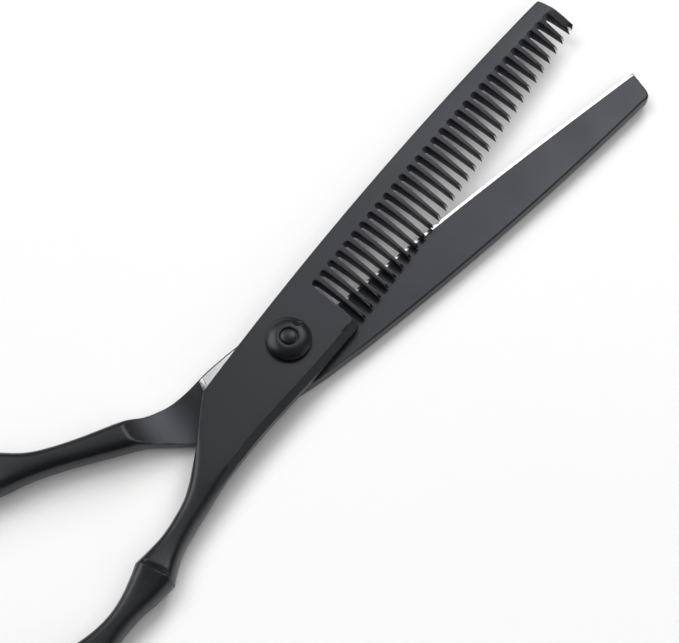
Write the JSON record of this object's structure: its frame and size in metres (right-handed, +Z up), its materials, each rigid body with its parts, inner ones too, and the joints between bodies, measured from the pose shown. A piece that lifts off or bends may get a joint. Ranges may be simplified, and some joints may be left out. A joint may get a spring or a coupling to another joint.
{
  "type": "thinning shears",
  "caption": "Black-coated hair thinning shears with a toothed comb blade over a plain blade, a dial pivot, offset finger rings, a screw-in finger rest and a rubber bumper.",
  "frame": {"origin": "centre of the rear nut's underside, on the pivot axis, at the level that the shears rest on", "axes": "+Z up along the pivot axis; +Y along the line that halves the opening, towards the blade tips; +X towards the plain blade's side"},
  "size_m": [0.0809, 0.1748, 0.008],
  "materials": {
    "black_coated_steel": "satin black coating",
    "bare_steel": "ground",
    "spring_steel": "rolled",
    "washer_plastic": "plain",
    "black_rubber": "moulded"
  },
  "bodies": {
    "finger_arm": {"plain_arm": "black_coated_steel", "rear_nut": "black_coated_steel", "pivot_screw": "bare_steel", "retaining_screw": "black_coated_steel", "finger_rest": "black_coated_steel", "finger_rest_washer": "black_rubber"},
    "thumb_arm": {"comb_arm": "black_coated_steel", "pivot_bushing": "bare_steel", "ride_washer": "washer_plastic", "click_plate": "spring_steel", "wave_washer": "spring_steel", "bumper": "black_rubber"},
    "dial": {"tension_dial": "black_coated_steel"}
  },
  "joints": [
    {"name": "blade_pivot", "type": "hinge", "parent": "finger_arm", "child": "thumb_arm", "pos_m": [0, 0, 0], "axis": [0, 0, 1], "range_deg": [-12, 78]},
    {"name": "dial_turn", "type": "hinge", "parent": "finger_arm", "child": "dial", "pos_m": [0, 0, 0.0068], "axis": [0, 0, 1], "range_deg": [-180, 180]}
  ]
}
